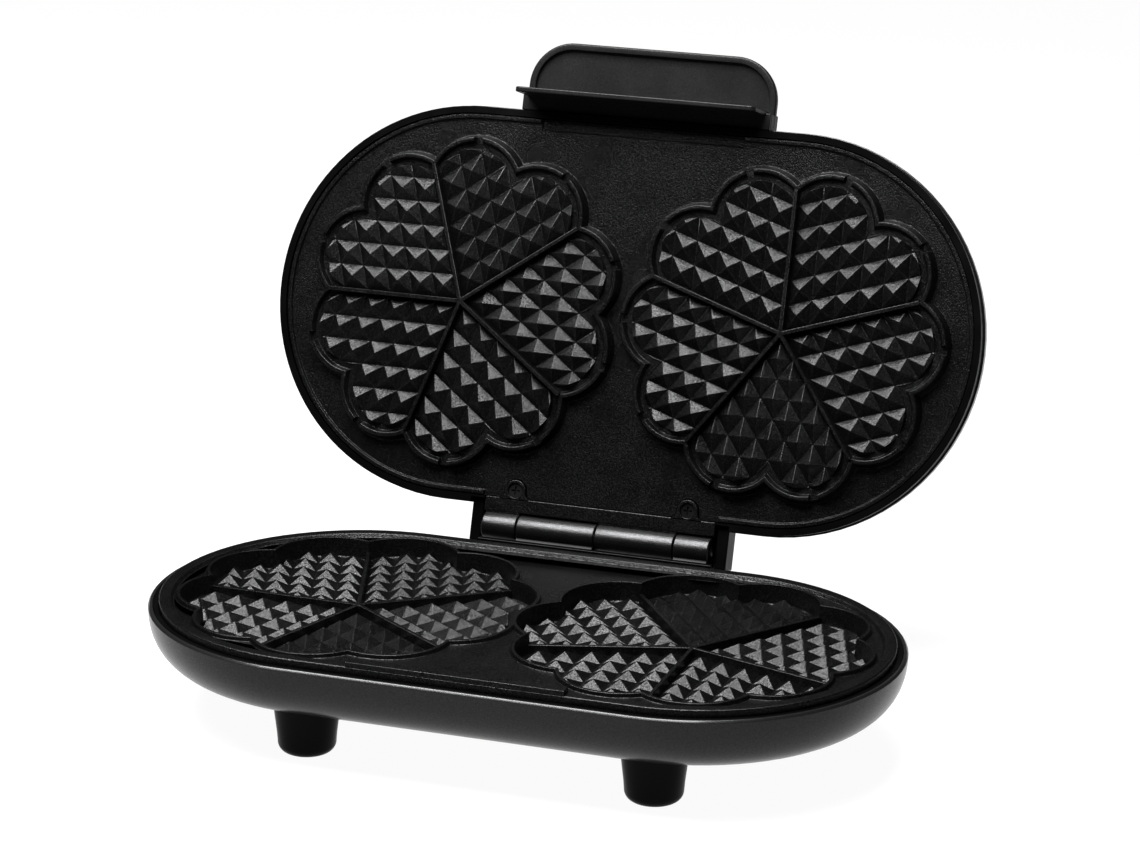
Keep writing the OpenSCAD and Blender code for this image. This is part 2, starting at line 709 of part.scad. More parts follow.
base_housing();
base_rim();
lower_plate();
lower_element();
lower_element_clips();
lower_reflector();
lower_reflector_screws();
thermostat();
base_fuse();
terminal_block();
base_wiring();
cord_gland();
foot_front_left();
foot_front_right();
foot_rear_left();
foot_rear_right();
foot_screws();
base_screws();
base_hinge_bracket();
hinge_bracket_screws();
hinge_pin();
lid_shell();
lid_rim();
upper_plate();
upper_element();
upper_element_clips();
upper_reflector();
upper_reflector_screws();
lid_fuse();
lid_wiring();
lid_hinge_bracket();
hinge_screws();
hinge_hood();
handle();
handle_screws();
power_lamp();
ready_lamp();
lamp_board();
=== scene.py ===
"""Waffle maker with two five-heart moulds, resting open."""

import json
import math

import bmesh
import bpy
from mathutils import Matrix, Vector


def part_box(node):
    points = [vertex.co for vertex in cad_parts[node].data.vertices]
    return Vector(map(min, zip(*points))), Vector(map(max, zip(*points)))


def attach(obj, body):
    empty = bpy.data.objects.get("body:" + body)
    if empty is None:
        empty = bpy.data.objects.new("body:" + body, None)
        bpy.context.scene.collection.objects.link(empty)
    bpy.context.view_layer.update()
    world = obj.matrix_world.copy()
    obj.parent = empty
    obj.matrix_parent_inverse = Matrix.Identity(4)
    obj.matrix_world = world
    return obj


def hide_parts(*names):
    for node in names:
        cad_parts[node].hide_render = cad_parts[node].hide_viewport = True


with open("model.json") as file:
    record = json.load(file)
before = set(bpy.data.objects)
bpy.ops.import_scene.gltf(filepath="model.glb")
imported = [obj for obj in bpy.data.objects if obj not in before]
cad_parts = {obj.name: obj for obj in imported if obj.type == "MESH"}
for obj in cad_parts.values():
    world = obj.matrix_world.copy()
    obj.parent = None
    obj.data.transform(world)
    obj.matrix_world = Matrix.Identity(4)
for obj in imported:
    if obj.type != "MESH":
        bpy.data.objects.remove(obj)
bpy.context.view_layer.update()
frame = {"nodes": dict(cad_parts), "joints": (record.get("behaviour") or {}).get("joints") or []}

MM = 0.001

# The plates: outline radius, and half the distance between the two mould centres
plate_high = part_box("lower_plate")[1]
PLATE_R = plate_high.y / MM
HALF = plate_high.x / MM - PLATE_R

# Lid pieces are drawn closed, and LID_POSE turns them open
joint = frame["joints"][0]
HINGE = Vector(joint["pos_m"])
OPEN = math.radians(joint["range_deg"][1])
LID_POSE = (Matrix.Translation(HINGE) @ Matrix.Rotation(-OPEN, 4, "X")
            @ Matrix.Translation(-HINGE))

# Heights with the lid closed, in millimetres, from the parting line between the plates
HINGE_ABOVE_PARTING = 2.9
PART_Z = HINGE.z / MM - HINGE_ABOVE_PARTING
FIELD_Z = PART_Z - 2
FLOOR_Z = PART_Z - 10
POCKET_Z = FLOOR_Z - 3
RIB_Z = PART_Z - 5.5
CREST_Z = PART_Z - 3
UP_FLOOR_Z = CREST_Z + 3
UP_FIELD_Z = CREST_Z + 6
UP_TOP_Z = UP_FIELD_Z + 2.4

# The base housing, and the superellipse of its bowl side
house_low, house_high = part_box("base_housing")
BASE_R = house_high.x / MM - HALF
UNDER_Z = house_low.z / MM
HOUSE_Z = house_high.z / MM
BOWL_REACH = 40.3
BOWL_POWER = 2.47
SKIN_T = 2.2

# The moulds: centre and turn of each, five hearts of two lobes
MOULDS = ((-HALF, 36), (HALF, 54))
HEART_TURN = 72
LOBE_TURN = 36
HALF_LOBE = 18
LOBE_REACH = 57.2
CAVITY_R = 27.8
RING_R = 25.9

# The vent on each crown of the upper rings: its floor and its edge, as angles along the lobe
VENT_EDGES = (4.2, 5.4)

# The pyramids and the ribs between the hearts
PITCH = 11.7
PEAK = 4.2
RIB_SIDE = 1.3
RIB_FOOT_W = 2.7
RIB_TOP_W = 1.9
LOWER_TEETH_R = 26.6
UPPER_TEETH_R = 19.7


# ---- mesh building, in millimetres ----

def arc(cx, cy, r, start, end, steps):
    """Points on an arc, angles in degrees, both ends included."""
    turns = [math.radians(start + (end - start) * k / steps) for k in range(steps + 1)]
    return [(cx + r * math.cos(t), cy + r * math.sin(t)) for t in turns]


def rounded(corners, steps=4):
    """A line of (x, y, radius) corners as points, each corner turned into a small arc."""
    points = []
    for k, (x, y, r) in enumerate(corners):
        if r == 0 or k == 0 or k == len(corners) - 1:
            points.append((x, y))
            continue
        here = Vector((x, y))
        back = (Vector(corners[k - 1][:2]) - here).normalized()
        ahead = (Vector(corners[k + 1][:2]) - here).normalized()
        half = back.angle(ahead) / 2
        reach = r / math.tan(half)
        middle = here + (back + ahead).normalized() * (r / math.sin(half))
        a, b = here + back * reach - middle, here + ahead * reach - middle
        swing = a.angle_signed(b)
        for s in range(steps + 1):
            p = middle + a @ Matrix.Rotation(swing * s / steps, 2)
            points.append((p.x, p.y))
    return points


def stadium(r, height, marks=(), steps=40):
    """The long outline at radius r. height is a number, or a function of x and y."""
    level = height if callable(height) else lambda x, y: height
    flat = arc(HALF, 0, r, -90, 90, steps)
    flat += [(x, r) for x in sorted(marks, reverse=True)]
    flat += arc(-HALF, 0, r, 90, 270, steps)
    flat += [(x, -r) for x in sorted(marks)]
    return [(x, y, level(x, y)) for x, y in flat]


def cleft(r):
    """Distance from a mould's centre to the cleft between two lobes of radius r."""
    turn = math.radians(HALF_LOBE)
    return LOBE_REACH * math.cos(turn) + math.sqrt(r * r - (LOBE_REACH * math.sin(turn)) ** 2)


def lobe_swing(r):
    """Half the angle that one lobe's arc covers, in degrees."""
    turn = math.radians(HALF_LOBE)
    q = cleft(r)
    return math.degrees(math.atan2(q * math.sin(turn), q * math.cos(turn) - LOBE_REACH))


def lobe_angles(r):
    """Angles along one lobe, from cleft to cleft, close together at the vent on the crown."""
    a = lobe_swing(r)
    near_vent, steps = 8, 6
    side = [a + (near_vent - a) * k / steps for k in range(steps + 1)]
    inner, outer = VENT_EDGES
    return [-s for s in side] + [-outer, -inner, 0, inner, outer] + side[::-1]


def flower(cx, turn, r, z):
    """Outline of one mould. z is a number, or a function of the angle along a lobe."""
    level = z if callable(z) else lambda angle: z
    points = []
    for k in range(10):
        axis = turn + HALF_LOBE + LOBE_TURN * k
        at = math.radians(axis)
        lx, ly = cx + LOBE_REACH * math.cos(at), LOBE_REACH * math.sin(at)
        for angle in lobe_angles(r)[:-1]:
            t = math.radians(axis + angle)
            points.append((lx + r * math.cos(t), ly + r * math.sin(t), level(angle)))
    return points


def joined_flowers(r, z, steps=14):
    """Outline round both lower moulds together, where their lips run into each other."""
    swing = lobe_swing(r)
    half_lobe = math.radians(HALF_LOBE)
    left = Vector((-HALF + LOBE_REACH * math.cos(half_lobe), LOBE_REACH * math.sin(half_lobe)))
    right = Vector((HALF - LOBE_REACH, 0))
    gap = right - left
    across = Vector((-gap.y, gap.x)).normalized()
    meet = (left + right) / 2 + across * math.sqrt(r * r - gap.length_squared / 4)
    on_left = math.degrees(math.atan2(meet.y - left.y, meet.x - left.x))
    on_right = math.degrees(math.atan2(meet.y, meet.x - right.x))
    points = []
    for side, turn in ((-1, HALF_LOBE), (1, 180)):
        for k in range(10 if side < 0 else 11):
            axis = turn + LOBE_TURN * k
            start, end = axis - swing, axis + swing
            if side < 0 and k == 0:
                start = on_left
            if side < 0 and k == 9:
                end = 360 - on_left
            if side > 0 and k == 0:
                start = 360 - on_right
            if side > 0 and k == 10:
                end = 360 + on_right
            at = math.radians(axis)
            lx = side * HALF + LOBE_REACH * math.cos(at)
            ly = LOBE_REACH * math.sin(at)
            points += [(x, y, z) for x, y in arc(lx, ly, r, start, end, steps)[:-1]]
    return points


class Piece:
    """A mesh under construction, in millimetres."""

    def __init__(self):
        self.bm = bmesh.new()

    def loop(self, points):
        """Adds a row of points and hands back its vertices."""
        return [self.bm.verts.new(Vector(p) * MM) for p in points]

    def band(self, a, b):
        """Joins two closed loops of equal length with a strip of faces."""
        n = len(a)
        for k in range(n):
            quad = (a[k], a[(k + 1) % n], b[(k + 1) % n], b[k])
            if len(set(quad)) == 4:
                self.bm.faces.new(quad)

    def loft(self, outlines, ends=True, ring=False):
        """Skins a row of outlines; ends caps both, ring joins the last to the first."""
        loops = [self.loop(points) for points in outlines]
        for a, b in zip(loops, loops[1:]):
            self.band(a, b)
        if ring:
            self.band(loops[-1], loops[0])
        elif ends:
            self.bm.faces.new(loops[0])
            self.bm.faces.new(loops[-1][::-1])
        return loops

    def fill(self, *loops):
        """Flat skin between an outer loop and the loops inside it."""
        edges = []
        for loop in loops:
            for k, v in enumerate(loop):
                w = loop[(k + 1) % len(loop)]
                edges.append(self.bm.edges.get((v, w)) or self.bm.edges.new((v, w)))
        bmesh.ops.triangle_fill(self.bm, use_beauty=True, edges=edges)

    def prism(self, outline, axis, start, end):
        """A solid of constant section; outline lies across axis, in the order x, y, z."""
        def place(p, along):
            q = list(p)
            q.insert("xyz".index(axis), along)
            return q
        self.loft([[place(p, start) for p in outline], [place(p, end) for p in outline]])

    def block(self, low, high):
        """A box between two opposite corners."""
        self.prism([(low[0], low[1]), (high[0], low[1]), (high[0], high[1]), (low[0], high[1])],
                   "z", low[2], high[2])

    def turned(self, rings, centre, axis="z", steps=48, ring=False):
        """A turned shape from (radius, height along axis) rings."""
        outlines = []
        for r, h in rings:
            outline = []
            for k in range(steps):
                t = 2 * math.pi * k / steps
                a, b = r * math.cos(t), r * math.sin(t)
                high = h(a, b) if callable(h) else h
                spot = (a, b, high) if axis == "z" else (high, a, b)
                if axis == "y":
                    spot = (a, high, b)
                outline.append([c + s for c, s in zip(centre, spot)])
            outlines.append(outline)
        self.loft(outlines, ring=ring)

    def object(self, name, in_lid=False):
        """Ends the piece as an object of the scene, turned open if it is in the lid."""
        bmesh.ops.recalc_face_normals(self.bm, faces=self.bm.faces)
        mesh = bpy.data.meshes.new(name)
        self.bm.to_mesh(mesh)
        self.bm.free()
        if in_lid:
            mesh.transform(LID_POSE)
        obj = bpy.data.objects.new(name, mesh)
        bpy.context.scene.collection.objects.link(obj)
        return obj


def smooth(obj, angle=32):
    """Shades a piece smoothly, with edges sharper than the angle kept sharp."""
    mesh = obj.data
    mesh.polygons.foreach_set("use_smooth", [True] * len(mesh.polygons))
    mesh.set_sharp_from_angle(angle=math.radians(angle))


def soften(obj, width, segments=2, angle=30):
    """Rounds the sharp edges of a piece."""
    bevel = obj.modifiers.new("edges", "BEVEL")
    bevel.width = width * MM
    bevel.segments = segments
    bevel.limit_method = "ANGLE"
    bevel.angle_limit = math.radians(angle)
    bevel.use_clamp_overlap = False
    bevel.harden_normals = False


def carve(obj, cutter):
    """Cuts the solid cutter out of obj."""
    cut = obj.modifiers.new("cut", "BOOLEAN")
    cut.operation = "DIFFERENCE"
    cut.solver = "EXACT"
    cut.object = cutter
    graph = bpy.context.evaluated_depsgraph_get()
    mesh = bpy.data.meshes.new_from_object(obj.evaluated_get(graph))
    obj.modifiers.clear()
    obj.data = mesh
    bpy.data.objects.remove(cutter)


def stand_in(obj, body, nodes, slot):
    """Gives a finished piece its finish, hangs it under its body and hides the CAD nodes it
    stands in for.
    """
    obj.data.materials.clear()
    obj.data.materials.append(FINISH[slot])
    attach(obj, body)
    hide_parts(*nodes)


def put(piece, name, body, nodes, slot, edge=0, edge_angle=30, shade_angle=32):
    """Ends a piece: an object of a body, edges rounded and shaded, in place of CAD nodes."""
    obj = piece.object(name, in_lid=body == "lid")
    if edge:
        soften(obj, edge, 3, edge_angle)
    smooth(obj, shade_angle)
    stand_in(obj, body, nodes, slot)


# ---- materials ----

def surface(name, colour, rough, metallic=0.0, specular=0.5, grain=0.0, grain_mm=0.4,
            speckle=0.0, rough_spread=0.06, coat=0.0, coat_rough=0.2, transmission=0.0):
    """A procedural finish: fine grain, uneven gloss and a sparkle of lighter flecks."""
    uneven_mm = 18
    bump_share = 0.35
    glint_low, glint_high = 0.4, 1.6
    mat = bpy.data.materials.new(name)
    mat.use_nodes = True
    nodes, links = mat.node_tree.nodes, mat.node_tree.links
    shader = nodes["Principled BSDF"]
    shader.inputs["Metallic"].default_value = metallic
    shader.inputs["Specular IOR Level"].default_value = specular
    shader.inputs["Coat Weight"].default_value = coat
    shader.inputs["Coat Roughness"].default_value = coat_rough
    shader.inputs["Transmission Weight"].default_value = transmission
    place = nodes.new("ShaderNodeTexCoord")

    def noise(size_mm, detail):
        node = nodes.new("ShaderNodeTexNoise")
        node.inputs["Scale"].default_value = 1 / (size_mm * MM)
        node.inputs["Detail"].default_value = detail
        links.new(place.outputs["Object"], node.inputs["Vector"])
        return node

    def stretch(source, low, high, to_low, to_high):
        node = nodes.new("ShaderNodeMapRange")
        node.inputs["From Min"].default_value = low
        node.inputs["From Max"].default_value = high
        node.inputs["To Min"].default_value = to_low
        node.inputs["To Max"].default_value = to_high
        links.new(source, node.inputs["Value"])
        return node.outputs["Result"]

    fine = noise(grain_mm, 3)
    broad = noise(uneven_mm, 2)
    uneven = stretch(broad.outputs["Fac"], 0.3, 0.7, rough - rough_spread, rough + rough_spread)
    links.new(uneven, shader.inputs["Roughness"])
    tint = nodes.new("ShaderNodeMix")
    tint.data_type = "RGBA"
    tint.inputs["A"].default_value = (*colour, 1)
    tint.inputs["B"].default_value = (*[min(1, c * (1 + speckle)) for c in colour], 1)
    flecks = stretch(fine.outputs["Fac"], 0.5, 0.66, 0, 1)
    links.new(flecks, tint.inputs["Factor"])
    links.new(tint.outputs["Result"], shader.inputs["Base Color"])
    if speckle:
        glint = stretch(fine.outputs["Fac"], 0.35, 0.65, specular * glint_low,
                        specular * glint_high)
        links.new(glint, shader.inputs["Specular IOR Level"])
    if grain:
        bump = nodes.new("ShaderNodeBump")
        bump.inputs["Strength"].default_value = grain
        bump.inputs["Distance"].default_value = grain_mm * MM * bump_share
        links.new(fine.outputs["Fac"], bump.inputs["Height"])
        links.new(bump.outputs["Normal"], shader.inputs["Normal"])
    return mat


FINISH = {
    "satin_grey": surface("satin_grey", (0.008, 0.008, 0.0082), 0.3, specular=0.22,
                          grain=0.1, grain_mm=0.3, speckle=0.5, rough_spread=0.02,
                          coat=0.35, coat_rough=0.15),
    "black_plastic": surface("black_plastic", (0.0015, 0.0015, 0.0016), 0.3, specular=0.1,
                             grain=0.06, grain_mm=0.3),
    "grip_plastic": surface("grip_plastic", (0.007, 0.007, 0.0071), 0.38, specular=0.13,
                            grain=0.15, grain_mm=0.35, speckle=0.6),
    "nonstick": surface("nonstick", (0.0018, 0.0018, 0.0019), 0.3, specular=0.19, grain=0.9,
                        grain_mm=0.7, speckle=2.5),
    "heater_steel": surface("heater_steel", (0.22, 0.21, 0.2), 0.45, metallic=1, grain=0.1,
                            speckle=0.1),
    "bright_steel": surface("bright_steel", (0.55, 0.55, 0.56), 0.3, metallic=1, grain=0.05),
    "reflector_steel": surface("reflector_steel", (0.62, 0.62, 0.63), 0.35, metallic=1,
                               grain=0.1, grain_mm=2),
    "ceramic_body": surface("ceramic_body", (0.6, 0.55, 0.45), 0.25, grain=0.05),
    "wire_sleeve": surface("wire_sleeve", (0.7, 0.68, 0.66), 0.5, grain=0.05),
    "foot_rubber": surface("foot_rubber", (0.002, 0.002, 0.0021), 0.5, specular=0.1, grain=0.2),
    "foot_plastic": surface("foot_plastic", (0.002, 0.002, 0.002), 0.3, specular=0.09,
                            grain=0.06),
    "hinge_metal": surface("hinge_metal", (0.026, 0.026, 0.0265), 0.33, metallic=0.9, grain=0.7,
                           grain_mm=0.5, speckle=0.8),
    "dark_screw": surface("dark_screw", (0.05, 0.05, 0.05), 0.25, metallic=0.9, grain=0.1),
    "red_lens": surface("red_lens", (0.4, 0.01, 0.008), 0.15, transmission=0.4),
    "green_lens": surface("green_lens", (0.01, 0.25, 0.03), 0.15, transmission=0.4),
    "circuit_board": surface("circuit_board", (0.05, 0.12, 0.03), 0.5),
}


# ---- moulds ----

def clip(polygon, fence):
    """Cuts a polygon of (x, y, z) points down to the inside of a convex, anticlockwise fence."""
    for (ax, ay), (bx, by) in zip(fence, fence[1:] + fence[:1]):
        kept = []
        sides = [(bx - ax) * (p[1] - ay) - (by - ay) * (p[0] - ax) for p in polygon]
        for k, p in enumerate(polygon):
            q, s, t = polygon[k - 1], sides[k - 1], sides[k]
            if (s >= 0) != (t >= 0):
                f = s / (s - t)
                kept.append(tuple(q[i] + (p[i] - q[i]) * f for i in range(3)))
            if t >= 0:
                kept.append(p)
        polygon = kept
        if len(polygon) < 3:
            return []
    return polygon


def direction(degrees):
    """Unit vector in the plane of the plates."""
    turn = math.radians(degrees)
    return Vector((math.cos(turn), math.sin(turn)))


def pyramids(piece, cx, turn, limit, base_z, up):
    """Rows of pyramids in all five hearts of one mould, with the cut ones closed at the edge."""
    lean = math.sin(math.radians(HEART_TURN))
    swing = lobe_swing(limit)
    rows = 9
    for heart in range(5):
        start = turn + HEART_TURN * heart
        one, two = direction(start), direction(start + HEART_TURN)
        for half in range(2):
            crown = math.radians(start + LOBE_TURN * half + HALF_LOBE)
            middle = (LOBE_REACH * math.cos(crown), LOBE_REACH * math.sin(crown))
            heading = math.degrees(crown)
            edge = arc(*middle, limit, heading - swing, heading + swing, 14)
            fence = [(0.0, 0.0)] + edge
            for i in range(rows):
                for j in range(rows):
                    cell = ((i, j), (i + 1, j), (i + 1, j + 1), (i, j + 1))
                    corners = [one * ((RIB_SIDE + v * PITCH) / lean)
                               + two * ((RIB_SIDE + u * PITCH) / lean) for u, v in cell]
                    if min(c.length for c in corners) > LOBE_REACH + limit:
                        continue
                    top = sum(corners, Vector((0, 0))) / 4
                    for p, q in zip(corners, corners[1:] + corners[:1]):
                        face = clip([(p.x, p.y, 0), (q.x, q.y, 0), (top.x, top.y, PEAK)],
                                    fence)
                        add_facet(piece, face, cx, base_z, up, middle, limit)


def add_facet(piece, face, cx, base_z, up, middle, limit):
    """Adds one pyramid face, and the upright wall below it where the outline cuts it."""
    if len(face) < 3:
        return
    on_arc, tallest_flat, apart = limit * 0.9935, 0.02, 1e-4
    spots = [Vector((cx + x, y, base_z + up * z)) for x, y, z in face]
    piece.bm.faces.new([piece.bm.verts.new(p * MM) for p in spots])
    reach = [math.hypot(x - middle[0], y - middle[1]) for x, y, z in face]
    for k in range(len(face)):
        m = (k + 1) % len(face)
        on_edge = reach[k] > on_arc and reach[m] > on_arc
        far = math.hypot(face[k][0], face[k][1]) > LOBE_REACH
        if on_edge and far and max(face[k][2], face[m][2]) > tallest_flat:
            foot = [Vector((p.x, p.y, base_z)) for p in (spots[m], spots[k])]
            corners = []
            for p in (spots[k], spots[m], *foot):
                if all((p - c).length > apart for c in corners):
                    corners.append(p)
            if len(corners) > 2:
                piece.bm.faces.new([piece.bm.verts.new(p * MM) for p in corners])


def rib_star(piece, cx, turn, reach, base_z, top_z):
    """Five ribs from a mould's centre out to its clefts, narrower at the top."""
    def outline(width, length, z):
        points = []
        for k in range(5):
            along = direction(turn + HEART_TURN * k)
            across = Vector((-along.y, along.x))
            for side in (-1, 1):
                p = along * length + across * (side * width / 2)
                points.append((cx + p.x, p.y, z))
            notch = direction(turn + HEART_TURN * k + LOBE_TURN)
            notch *= width / 2 / math.sin(math.radians(LOBE_TURN))
            points.append((cx + notch.x, notch.y, z))
        return points
    loops = [piece.loop(outline(RIB_FOOT_W, reach, base_z)),
             piece.loop(outline(RIB_TOP_W, reach, top_z))]
    piece.band(*loops)
    for loop in loops:
        piece.fill(loop)


# The raised pad at the front, the hinge strip at the rear, and where the border's bead stops
PAD_HALF = 52.5
PAD_DEPTH = 6.9
PAD_RISE = 2.3
STRIP_HALF = 60
BEAD_STOPS = (PAD_HALF, PAD_HALF + 0.6, STRIP_HALF + 1, STRIP_HALF + 1.6)
FLAT_MARKS = [side * x for side in (-1, 1) for x in BEAD_STOPS]


def bead_level(z):
    """Height along the upper border, flat in front of the hinge and over the front pad."""
    def level(x, y):
        half = STRIP_HALF + 1.2 if y > 0 else PAD_HALF + 0.2
        return max(z, UP_FIELD_Z) if abs(x) < half else z
    return level


def build_lower_plate():
    """The plate's border and lip, the two cavities and the cup under them."""
    piece = Piece()
    border = rounded([(PLATE_R, FIELD_Z - 3, 0), (PLATE_R, PART_Z, 0.9), (89.4, PART_Z, 0.8),
                      (88.2, FIELD_Z, 0.6), (87.6, FIELD_Z, 0)])
    rim = piece.loft([stadium(r, z) for r, z in border], ends=False)
    side = rounded([(30.6, FIELD_Z, 0), (30.1, FIELD_Z, 0.4), (29.6, PART_Z, 0.5),
                    (29.15, PART_Z, 0)], 3)
    lip = piece.loft([joined_flowers(r, z) for r, z in side], ends=False)
    piece.fill(rim[-1], lip[0])
    wells = []
    wall = rounded([(28.3, PART_Z, 0), (27.95, PART_Z, 0.3), (27.3, FLOOR_Z, 1.2),
                    (25.6, FLOOR_Z, 0)], 4)
    for cx, turn in MOULDS:
        well = piece.loft([flower(cx, turn, r, z) for r, z in wall], ends=False)
        piece.fill(well[-1])
        wells.append(well[0])
    piece.fill(lip[-1], *wells)
    cup = piece.loft([joined_flowers(30.2, FIELD_Z - 3), joined_flowers(30.2, POCKET_Z)],
                     ends=False)
    piece.fill(rim[0], cup[0])
    piece.fill(cup[-1])
    return piece.object("lower_plate_body")


def build_upper_plate():
    """The plate's border and field, and two raised rings with a vent at every crown."""
    piece = Piece()
    border = rounded([(PLATE_R - 2.5, UP_TOP_Z, 0), (PLATE_R - 2.5, 65, 0), (PLATE_R, 65, 0),
                      (PLATE_R, UP_FIELD_Z - 1.3, 0.4), (92.9, UP_FIELD_Z - 1.3, 0.4),
                      (92.4, UP_FIELD_Z, 0.4), (91.6, UP_FIELD_Z, 0)])
    rim = piece.loft([stadium(r, bead_level(z), FLAT_MARKS) for r, z in border], ends=False)

    def crest(z):
        return lambda angle: max(z, UP_FLOOR_Z) if abs(angle) < sum(VENT_EDGES) / 2 else z

    section = rounded([(28, UP_FIELD_Z, 0), (27.1, UP_FIELD_Z, 0.3), (25.5, CREST_Z, 0.5),
                       (23.6, CREST_Z, 0.5), (22.4, UP_FLOOR_Z, 0.3), (21.8, UP_FLOOR_Z, 0)], 3)
    rings = []
    for cx, turn in MOULDS:
        ring = piece.loft([flower(cx, turn, r, crest(z)) for r, z in section], ends=False)
        rings.append(ring[0])
        piece.fill(ring[-1])
    piece.fill(rim[-1], *rings)
    piece.fill(rim[0])
    return piece.object("upper_plate_body", in_lid=True)


# The two screw bosses in front of the hinge
BOSS_X = (-45, 45)
BOSS_Y = 91.3


def boss_outline(x, r, fillet, edge_y, end_y):
    """Outline of a screw boss that runs into a straight strip with soft inside corners."""
    swell = r + fillet
    points = arc(x, BOSS_Y, r, 180, 360, 32)
    points += arc(x + swell, edge_y - fillet, fillet, 180, 90, 8)
    points += [(x + swell, end_y), (x - swell, end_y)]
    return points + arc(x - swell, edge_y - fillet, fillet, 90, 0, 8)


def build_teeth(body, limit, base_z, up, rib_reach, rib_foot, rib_top):
    """The pyramids and ribs of one plate."""
    node = "lower_plate" if body == "base" else "upper_plate"
    title = node.removesuffix("plate")
    teeth, ribs = Piece(), Piece()
    for cx, turn in MOULDS:
        pyramids(teeth, cx, turn, limit, base_z, up)
        rib_star(ribs, cx, turn, rib_reach, rib_foot, rib_top)
    bmesh.ops.remove_doubles(teeth.bm, verts=teeth.bm.verts, dist=2e-5)
    for piece, name in ((teeth, title + "pyramids"), (ribs, title + "ribs")):
        obj = piece.object(name, in_lid=body == "lid")
        soften(obj, 0.28, 2, 24)
        smooth(obj, 24)
        stand_in(obj, body, [node], "nonstick")


def build_moulds():
    lower = build_lower_plate()
    smooth(lower)
    stand_in(lower, "base", ["lower_plate"], "nonstick")
    pad = Piece()
    pad.block((-PAD_HALF, -PLATE_R + 0.3, FIELD_Z - 0.5),
              (PAD_HALF, -PLATE_R + PAD_DEPTH, PART_Z + PAD_RISE))
    put(pad, "front_pad", "base", ["lower_plate"], "nonstick", edge=0.4)
    upper = build_upper_plate()
    cutter = Piece()
    for x in BOSS_X:
        cutter.prism(boss_outline(x, 5.9, 2.9, 95.1, 110), "z", 50, 80)
    low, high = UP_FIELD_Z - 10, UP_FIELD_Z + 1
    cutter.prism([(-97, low), (-89.2, low), (-89.2, UP_FIELD_Z - 0.2), (-90, high), (-97, high)],
                 "x", -PAD_HALF, PAD_HALF)
    carve(upper, cutter.object("border_cut", in_lid=True))
    smooth(upper)
    stand_in(upper, "lid", ["upper_plate"], "nonstick")
    build_teeth("base", LOWER_TEETH_R, FLOOR_Z, 1, cleft(CAVITY_R) + 0.6, FLOOR_Z - 0.5, RIB_Z)
    build_teeth("lid", UPPER_TEETH_R, UP_FLOOR_Z, -1, cleft(RING_R - 2.6) + 1.2,
                UP_FLOOR_Z + 0.5, CREST_Z - 1.4)


# ---- base ----

# Housing screws, vent slots, cord gland, and the seat that carries the hinge
SCREW_X = 22
SCREW_Y = 72
VENT_PITCH = 9
VENT_HALF = 18
GLAND_AT = (78, 0, 38)
SEAT_HALF = 62
SEAT_Z = 38


def bowl_point(inset, turn):
    """Radius and height on the housing's skin, inset from the outside; turn 0 is the lip."""
    t = math.radians(turn)
    power = 2 / BOWL_POWER
    return (BASE_R - BOWL_REACH + (BOWL_REACH - inset) * math.cos(t) ** power,
            HOUSE_Z - (HOUSE_Z - UNDER_Z - inset) * math.sin(t) ** power)


def bowl_height(r):
    """Height of the housing's outer skin at radius r."""
    share = max(0.0, (r - BASE_R + BOWL_REACH) / BOWL_REACH)
    return HOUSE_Z - (HOUSE_Z - UNDER_Z) * (1 - min(1, share) ** BOWL_POWER) ** (1 / BOWL_POWER)


def long_radius(x, y):
    """Distance from the long outline's middle line."""
    return math.hypot(max(0, abs(x) - HALF), y)


def build_housing():
    piece = Piece()
    first, steps = 6, 22
    turns = [first + (90 - first) * k / steps for k in range(steps + 1)]
    outer = [bowl_point(0, t) for t in turns]
    inner = [bowl_point(SKIN_T, t) for t in turns if t > 2 * first]
    lip = rounded([(BASE_R - 2.4, HOUSE_Z - 2, 0), (BASE_R - 2.2, HOUSE_Z, 0.3),
                   (BASE_R - 0.9, HOUSE_Z, 0.3), (BASE_R, HOUSE_Z - 1, 0.4),
                   (*outer[0], 0)], 4)[1:-1]
    piece.loft([stadium(r, z) for r, z in inner[::-1] + lip + outer])
    obj = piece.object("base_skin")
    cutter = Piece()
    for x in (-SCREW_X, SCREW_X):
        for y in (-SCREW_Y, SCREW_Y):
            cutter.turned([(3.9, UNDER_Z - 5), (3.9, UNDER_Z + 9)], (x, y, 0), steps=32)
    for side in (-1, 1):
        for k in range(-3, 4):
            x = side * HALF + VENT_PITCH * k
            slot = arc(x, VENT_HALF, 2, 0, 180, 8) + arc(x, -VENT_HALF, 2, 180, 360, 8)
            cutter.prism(slot, "z", UNDER_Z - 3, UNDER_Z + 6)
    cutter.turned([(6, 80), (6, 110)], GLAND_AT, axis="y", steps=32)
    carve(obj, cutter.object("housing_cut"))
    smooth(obj)
    stand_in(obj, "base", ["base_housing"], "satin_grey")
    seat = Piece()
    seat.block((-SEAT_HALF, 93, SEAT_Z), (SEAT_HALF, BASE_R - 0.1, FIELD_Z - 3.4))
    put(seat, "hinge_seat", "base", ["base_housing"], "satin_grey", edge=0.6)


def build_feet():
    for name in ("foot_front_left", "foot_front_right", "foot_rear_left", "foot_rear_right"):
        low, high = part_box(name)
        cx, cy = (low.x + high.x) / 2 / MM, (low.y + high.y) / 2 / MM
        r = (high.x - low.x) / 2 / MM

        def top(a, b):
            return bowl_height(long_radius(cx + a, cy + b)) + 0.9

        rings = [(1.8, top), (1.8, 12), (3.6, 12), (3.6, 0.7), (4.3, 0), (r - 7.5, 0)]
        rings += arc(r - 7.5, 5, 5, -75, -8, 8) + [(r - 2.2, 9), (r - 0.4, top)]
        piece = Piece()
        piece.turned(rings, (cx, cy, 0), ring=True)
        put(piece, name + "_body", "base", [name], "foot_plastic", shade_angle=40)


